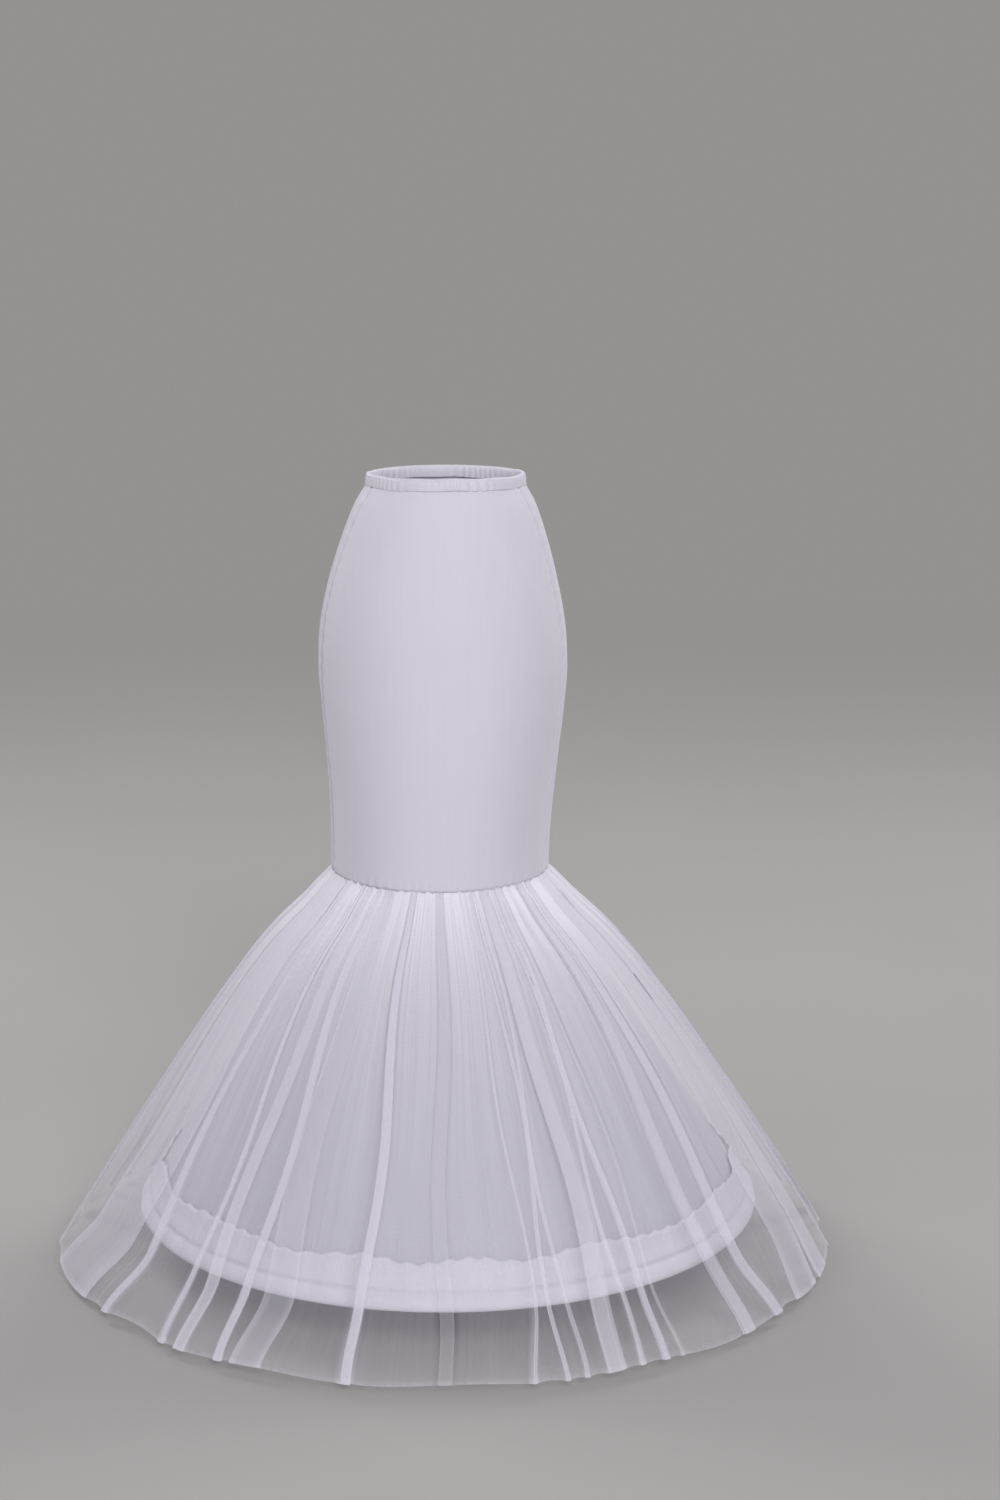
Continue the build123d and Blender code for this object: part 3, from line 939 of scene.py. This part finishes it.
class PETTICOAT_OT_stage(bpy.types.Operator):
    """Make the floor, the light and the camera."""

    bl_idname = "petticoat.stage"
    bl_label = "Stage"

    def execute(self, context):
        scene = context.scene
        scene.view_settings.view_transform = "Standard"
        scene.cycles.transparent_max_bounces = 32
        self.floor(CAD_BOX[0][2] - FLOOR_GAP)
        for lamp in LAMPS:
            self.light(*lamp)
        self.studio(scene)
        lens = bpy.data.cameras.new("camera")
        lens.lens = LENS
        lens.sensor_width = SENSOR
        camera = bpy.data.objects.new("camera", lens)
        camera.location = CAMERA_PLACE
        camera.rotation_euler = (math.radians(CAMERA_TILT), 0, 0)
        scene.collection.objects.link(camera)
        scene.camera = camera
        return {"FINISHED"}

    def floor(self, height):
        """Make one plain wide floor that fades into the backdrop away from the petticoat."""
        mesh = bpy.data.meshes.new("floor")
        corners = ((-1, -1), (1, -1), (1, 1), (-1, 1))
        mesh.from_pydata([(x * FLOOR_REACH, y * FLOOR_REACH, height) for x, y in corners], [], [(0, 1, 2, 3)])
        material, nodes, links, shader = new_material("floor_paper", FLOOR, 0.95, 0.0)
        tree = material.node_tree
        place = nodes.new("ShaderNodeTexCoord")
        tint(nodes, links, shader, FLOOR, place.outputs["Object"], 0.9, 0.02)
        far = nodes.new("ShaderNodeVectorMath")
        far.operation = "LENGTH"
        links.new(place.outputs["Object"], far.inputs[0])
        fade = map_range(tree, far.outputs["Value"], FADE, (0.0, 1.0))
        fade.interpolation_type = "SMOOTHSTEP"
        share = sum_node(tree, "MULTIPLY", fade.outputs["Result"], self.looked_at(tree))
        wall = nodes.new("ShaderNodeEmission")
        wall.inputs["Color"].default_value = (*BACKDROP, 1)
        material.cycles.emission_sampling = "NONE"
        choice = nodes.new("ShaderNodeMixShader")
        links.new(share, choice.inputs["Fac"])
        links.new(shader.outputs["BSDF"], choice.inputs[1])
        links.new(wall.outputs["Emission"], choice.inputs[2])
        end = next(node for node in nodes if node.type == "OUTPUT_MATERIAL")
        links.new(choice.outputs["Shader"], end.inputs["Surface"])
        mesh.materials.append(material)
        floor = bpy.data.objects.new("floor", mesh)
        bpy.context.scene.collection.objects.link(floor)

    def studio(self, scene):
        """Light the room softly all round, with a plain backdrop behind the floor."""
        world = bpy.data.worlds.new("studio")
        scene.world = world
        world.use_nodes = True
        nodes, links = world.node_tree.nodes, world.node_tree.links
        room = next(node for node in nodes if node.type == "BACKGROUND")
        room.inputs["Color"].default_value = (*ROOM_LIGHT, 1)
        room.inputs["Strength"].default_value = ROOM_STRENGTH
        wall = nodes.new("ShaderNodeBackground")
        wall.inputs["Color"].default_value = (*BACKDROP, 1)
        choice = nodes.new("ShaderNodeMixShader")
        links.new(self.looked_at(world.node_tree), choice.inputs["Fac"])
        links.new(room.outputs["Background"], choice.inputs[1])
        links.new(wall.outputs["Background"], choice.inputs[2])
        end = next(node for node in nodes if node.type == "OUTPUT_WORLD")
        links.new(choice.outputs["Shader"], end.inputs["Surface"])

    def looked_at(self, tree):
        """Tell rays that show a surface from rays that light it."""
        ray = tree.nodes.new("ShaderNodeLightPath")
        shown = ray.outputs["Is Camera Ray"]
        for kind in ("Is Glossy Ray", "Is Transmission Ray"):
            shown = sum_node(tree, "MAXIMUM", shown, ray.outputs[kind])
        return shown

    def light(self, name, place, size, power):
        """Hang one soft lamp that faces the middle of the petticoat."""
        lamp = bpy.data.lights.new(name, "AREA")
        lamp.shape = "DISK"
        lamp.size = size
        lamp.energy = power
        holder = bpy.data.objects.new(name, lamp)
        holder.location = place
        aim = np.array(LAMPS_AIM) - np.array(place)
        aim = aim / np.linalg.norm(aim)
        holder.rotation_euler = (math.acos(-aim[2]), 0, math.atan2(-aim[0], aim[1]))
        bpy.context.scene.collection.objects.link(holder)


class PETTICOAT_PT_panel(bpy.types.Panel):
    """Sizes, colours and pieces of the petticoat."""

    bl_idname = "PETTICOAT_PT_panel"
    bl_label = "Hooped petticoat"
    bl_space_type = "VIEW_3D"
    bl_region_type = "UI"
    bl_category = "Petticoat"

    def draw(self, context):
        scene = context.scene
        for group in (scene.petticoat_cloth, scene.petticoat_folds, scene.petticoat_stitches):
            box = self.layout.box()
            for label in group.__annotations__:
                box.prop(group, label)
        for operator in PIECES:
            self.layout.operator(operator.bl_idname)


GROUPS = (PetticoatCloth, PetticoatFolds, PetticoatStitches)
PIECES = (
    PETTICOAT_OT_stage,
    PETTICOAT_OT_body,
    PETTICOAT_OT_waist,
    PETTICOAT_OT_lining,
    PETTICOAT_OT_hoop_casing,
    PETTICOAT_OT_tulle,
    PETTICOAT_OT_inner,
)


def register():
    for kind in GROUPS + PIECES + (PETTICOAT_PT_panel,):
        bpy.utils.register_class(kind)
    bpy.types.Scene.petticoat_cloth = bpy.props.PointerProperty(type=PetticoatCloth)
    bpy.types.Scene.petticoat_folds = bpy.props.PointerProperty(type=PetticoatFolds)
    bpy.types.Scene.petticoat_stitches = bpy.props.PointerProperty(type=PetticoatStitches)


def unregister():
    del bpy.types.Scene.petticoat_stitches
    del bpy.types.Scene.petticoat_folds
    del bpy.types.Scene.petticoat_cloth
    for kind in reversed(GROUPS + PIECES + (PETTICOAT_PT_panel,)):
        bpy.utils.unregister_class(kind)


def main():
    register()
    bpy.ops.petticoat.stage()
    bpy.ops.petticoat.body()
    bpy.ops.petticoat.waist()
    bpy.ops.petticoat.lining()
    bpy.ops.petticoat.hoop_casing()
    bpy.ops.petticoat.tulle()
    bpy.ops.petticoat.inner()


if __name__ == "__main__":
    main()
